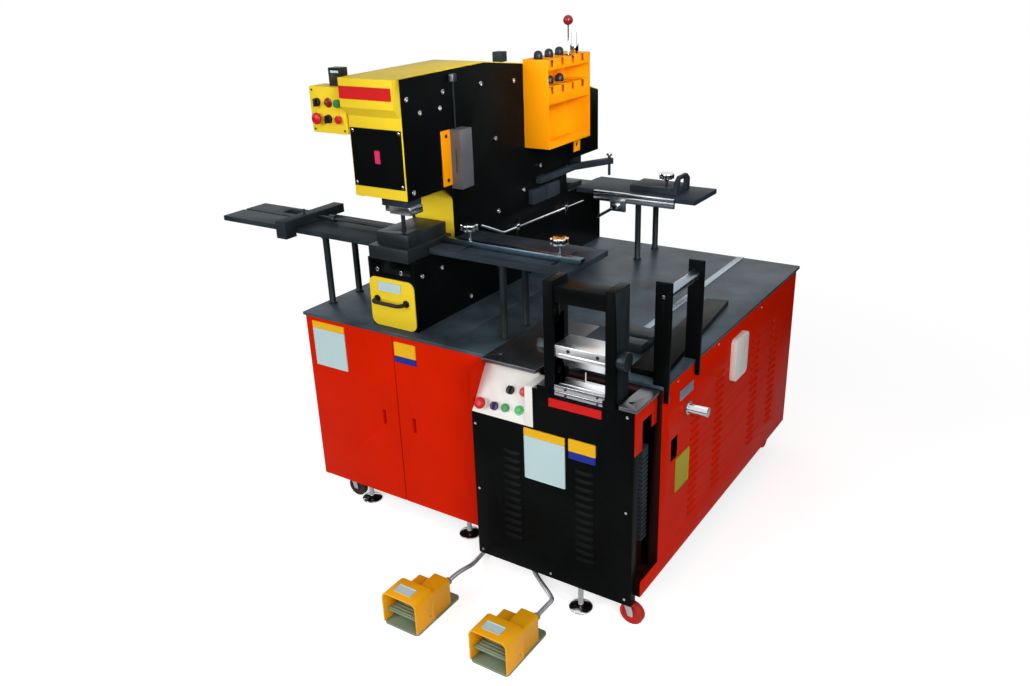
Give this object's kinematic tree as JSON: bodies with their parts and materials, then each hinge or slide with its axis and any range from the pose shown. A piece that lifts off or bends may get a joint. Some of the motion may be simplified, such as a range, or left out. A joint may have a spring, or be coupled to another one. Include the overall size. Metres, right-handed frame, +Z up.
{
  "type": "busbar processing machine",
  "caption": "Hydraulic busbar processing machine: punching and shearing press with feed tables and a bending station on a steel cabinet, with foot switches.",
  "frame": {"origin": "on the floor under the middle of the machine's outline", "axes": "+Z up, +Y from the operator's front to the back, +X to the right along the front"},
  "size_m": [2.049, 1.879, 1.8385],
  "materials": {
    "red_paint": "gloss",
    "yellow_paint": "gloss",
    "white_paint": "satin",
    "dark_steel": "satin",
    "table_steel": "satin",
    "bright_steel": "polished",
    "chrome": "polished",
    "grey_paint": "satin",
    "green_paint": "satin",
    "hood_paint": "satin",
    "black_plastic": "satin",
    "red_plastic": "gloss",
    "green_plastic": "gloss",
    "conduit_plastic": "matte",
    "red_rubber": "matte"
  },
  "bodies": {
    "machine": {"cabinet_frame": "red_paint", "cabinet_panels": "red_paint", "right_side_panel": "red_paint", "front_cover": "dark_steel", "table_plates": "table_steel", "steel_plates": "bright_steel", "levelling_feet": "chrome", "castor_plates": "grey_paint", "press_sides": "dark_steel", "head_covers": "yellow_paint", "press_bolts": "dark_steel", "die_blocks": "bright_steel", "shear_arm": "dark_steel", "feed_tables": "dark_steel", "feed_supports": "bright_steel", "bending_gate": "dark_steel", "stand_frame": "dark_steel", "console_box": "white_paint", "control_boxes": "yellow_paint", "tool_rack": "yellow_paint", "rack_tools": "dark_steel", "side_fittings": "grey_paint", "power_unit": "grey_paint", "foot_switch_bases": "green_paint", "foot_switch_hoods": "hood_paint", "conduit_left": "conduit_plastic", "conduit_right": "conduit_plastic"},
    "door_left": {"door_left": "red_paint"},
    "door_right": {"door_right": "red_paint"},
    "drawer": {"scrap_drawer": "yellow_paint", "drawer_handle": "black_plastic"},
    "punch_ram": {"punch_ram": "dark_steel"},
    "shear_ram": {"shear_ram": "dark_steel"},
    "bending_die": {"bending_die": "bright_steel"},
    "stand_roller": {"stand_roller": "bright_steel"},
    "console_selector": {"console_selector": "black_plastic"},
    "console_mushroom": {"console_mushroom": "red_plastic"},
    "console_key_switch": {"console_key_switch": "black_plastic"},
    "console_green_button": {"console_green_button": "green_plastic"},
    "head_selector": {"head_selector": "black_plastic"},
    "head_green_button": {"head_green_button": "green_plastic"},
    "head_mushroom": {"head_mushroom": "red_plastic"},
    "head_key_switch": {"head_key_switch": "black_plastic"},
    "head_red_button": {"head_red_button": "red_plastic"},
    "fence": {"fence_bar": "bright_steel"},
    "fence_knob_left": {"fence_knob_left": "chrome"},
    "fence_knob_right": {"fence_knob_right": "chrome"},
    "stop_beam": {"stop_beam": "dark_steel"},
    "stop_rod": {"stop_rod": "bright_steel"},
    "rear_stop": {"rear_stop": "dark_steel"},
    "rear_stop_knob": {"rear_stop_knob": "chrome"},
    "clamp_lever": {"clamp_lever": "chrome"},
    "pedal_left": {"pedal_left": "green_paint"},
    "pedal_right": {"pedal_right": "green_paint"},
    "castor_fork_left": {"castor_fork_left": "bright_steel"},
    "castor_fork_right": {"castor_fork_right": "bright_steel"},
    "castor_wheel_left": {"castor_wheel_left": "red_rubber"},
    "castor_wheel_right": {"castor_wheel_right": "red_rubber"},
    "rear_wheel_left": {"rear_wheel_left": "red_rubber"},
    "rear_wheel_right": {"rear_wheel_right": "red_rubber"}
  },
  "joints": [
    {"name": "door_left_hinge", "type": "hinge", "parent": "machine", "child": "door_left", "pos_m": [-0.5015, -0.4425, 0.465], "axis": [0, 0, 1], "range_deg": [-110, 0]},
    {"name": "door_right_hinge", "type": "hinge", "parent": "machine", "child": "door_right", "pos_m": [0.3205, -0.4425, 0.465], "axis": [0, 0, 1], "range_deg": [0, 86]},
    {"name": "drawer_slide", "type": "slide", "parent": "machine", "child": "drawer", "axis": [0, -1, 0], "range_m": [0, 0.22]},
    {"name": "punch_slide", "type": "slide", "parent": "machine", "child": "punch_ram", "axis": [0, 0, -1], "range_m": [0, 0.06]},
    {"name": "shear_slide", "type": "slide", "parent": "machine", "child": "shear_ram", "axis": [0, 0, -1], "range_m": [0, 0.065]},
    {"name": "bending_slide", "type": "slide", "parent": "machine", "child": "bending_die", "axis": [0, 0, 1], "range_m": [0, 0.048]},
    {"name": "roller_axle", "type": "hinge", "parent": "machine", "child": "stand_roller", "pos_m": [0.9475, -0.2675, 1.118], "axis": [0, 1, 0], "continuous": true},
    {"name": "console_selector_turn", "type": "hinge", "parent": "machine", "child": "console_selector", "pos_m": [0.4615, -0.49309, 0.7402], "axis": [0, -0.8415, 0.5402], "range_deg": [-45, 45]},
    {"name": "console_mushroom_push", "type": "slide", "parent": "machine", "child": "console_mushroom", "axis": [0, 0.8415, -0.5402], "range_m": [0, 0.004], "stiffness_N_per_m": 800},
    {"name": "console_key_turn", "type": "hinge", "parent": "machine", "child": "console_key_switch", "pos_m": [0.4185, -0.52767, 0.68634], "axis": [0, -0.8415, 0.5402], "range_deg": [0, 90]},
    {"name": "console_button_push", "type": "slide", "parent": "machine", "child": "console_green_button", "axis": [0, 0.8415, -0.5402], "range_m": [0, 0.004], "stiffness_N_per_m": 600},
    {"name": "head_selector_turn", "type": "hinge", "parent": "machine", "child": "head_selector", "pos_m": [-0.3495, -0.4165, 1.615], "axis": [0, -1, 0], "range_deg": [-45, 45]},
    {"name": "head_green_push", "type": "slide", "parent": "machine", "child": "head_green_button", "axis": [0, 1, 0], "range_m": [0, 0.004], "stiffness_N_per_m": 600},
    {"name": "head_mushroom_push", "type": "slide", "parent": "machine", "child": "head_mushroom", "axis": [0, 1, 0], "range_m": [0, 0.004], "stiffness_N_per_m": 800},
    {"name": "head_key_turn", "type": "hinge", "parent": "machine", "child": "head_key_switch", "pos_m": [-0.302, -0.4165, 1.561], "axis": [0, -1, 0], "range_deg": [0, 90]},
    {"name": "head_red_push", "type": "slide", "parent": "machine", "child": "head_red_button", "axis": [0, 1, 0], "range_m": [0, 0.004], "stiffness_N_per_m": 600},
    {"name": "fence_slide", "type": "slide", "parent": "machine", "child": "fence", "axis": [0, 1, 0], "range_m": [-0.04, 0.1]},
    {"name": "fence_knob_left_turn", "type": "hinge", "parent": "fence", "child": "fence_knob_left", "pos_m": [0.1315, -0.2325, 1.15], "axis": [0, 0, 1], "continuous": true},
    {"name": "fence_knob_right_turn", "type": "hinge", "parent": "fence", "child": "fence_knob_right", "pos_m": [0.4975, -0.2325, 1.15], "axis": [0, 0, 1], "continuous": true},
    {"name": "stop_beam_slide", "type": "slide", "parent": "machine", "child": "stop_beam", "axis": [1, 0, 0], "range_m": [-0.3, 0.04]},
    {"name": "stop_rod_slide", "type": "slide", "parent": "stop_beam", "child": "stop_rod", "axis": [1, 0, 0], "range_m": [-0.05, 0.03]},
    {"name": "rear_stop_slide", "type": "slide", "parent": "machine", "child": "rear_stop", "axis": [1, 0, 0], "range_m": [-0.15, 0.08]},
    {"name": "rear_stop_knob_turn", "type": "hinge", "parent": "rear_stop", "child": "rear_stop_knob", "pos_m": [0.4205, 0.7735, 1.15], "axis": [0, 0, 1], "continuous": true},
    {"name": "clamp_lever_turn", "type": "hinge", "parent": "machine", "child": "clamp_lever", "pos_m": [0.2405, 0.6605, 1.062], "axis": [0, 1, 0], "range_deg": [-40, 40]},
    {"name": "pedal_left_press", "type": "hinge", "parent": "machine", "child": "pedal_left", "pos_m": [0.2845, -0.8645, 0.034], "axis": [1, 0, 0], "range_deg": [0, 11], "stiffness_Nm_per_rad": 12, "springref_deg": -20.05},
    {"name": "pedal_right_press", "type": "hinge", "parent": "machine", "child": "pedal_right", "pos_m": [0.6405, -0.8645, 0.034], "axis": [1, 0, 0], "range_deg": [0, 11], "stiffness_Nm_per_rad": 12, "springref_deg": -20.05},
    {"name": "castor_left_swivel", "type": "hinge", "parent": "machine", "child": "castor_fork_left", "pos_m": [-0.4315, -0.3715, 0.1], "axis": [0, 0, 1], "continuous": true},
    {"name": "castor_left_roll", "type": "hinge", "parent": "castor_fork_left", "child": "castor_wheel_left", "pos_m": [-0.4095, -0.3715, 0.0435], "axis": [0, 1, 0], "continuous": true},
    {"name": "castor_right_swivel", "type": "hinge", "parent": "machine", "child": "castor_fork_right", "pos_m": [0.9025, -0.5095, 0.1], "axis": [0, 0, 1], "continuous": true},
    {"name": "castor_right_roll", "type": "hinge", "parent": "castor_fork_right", "child": "castor_wheel_right", "pos_m": [0.9245, -0.5095, 0.0435], "axis": [0, 1, 0], "continuous": true},
    {"name": "rear_left_roll", "type": "hinge", "parent": "machine", "child": "rear_wheel_left", "pos_m": [-0.4095, 0.8385, 0.0435], "axis": [1, 0, 0], "continuous": true},
    {"name": "rear_right_roll", "type": "hinge", "parent": "machine", "child": "rear_wheel_right", "pos_m": [0.8905, 0.8385, 0.0435], "axis": [1, 0, 0], "continuous": true}
  ]
}
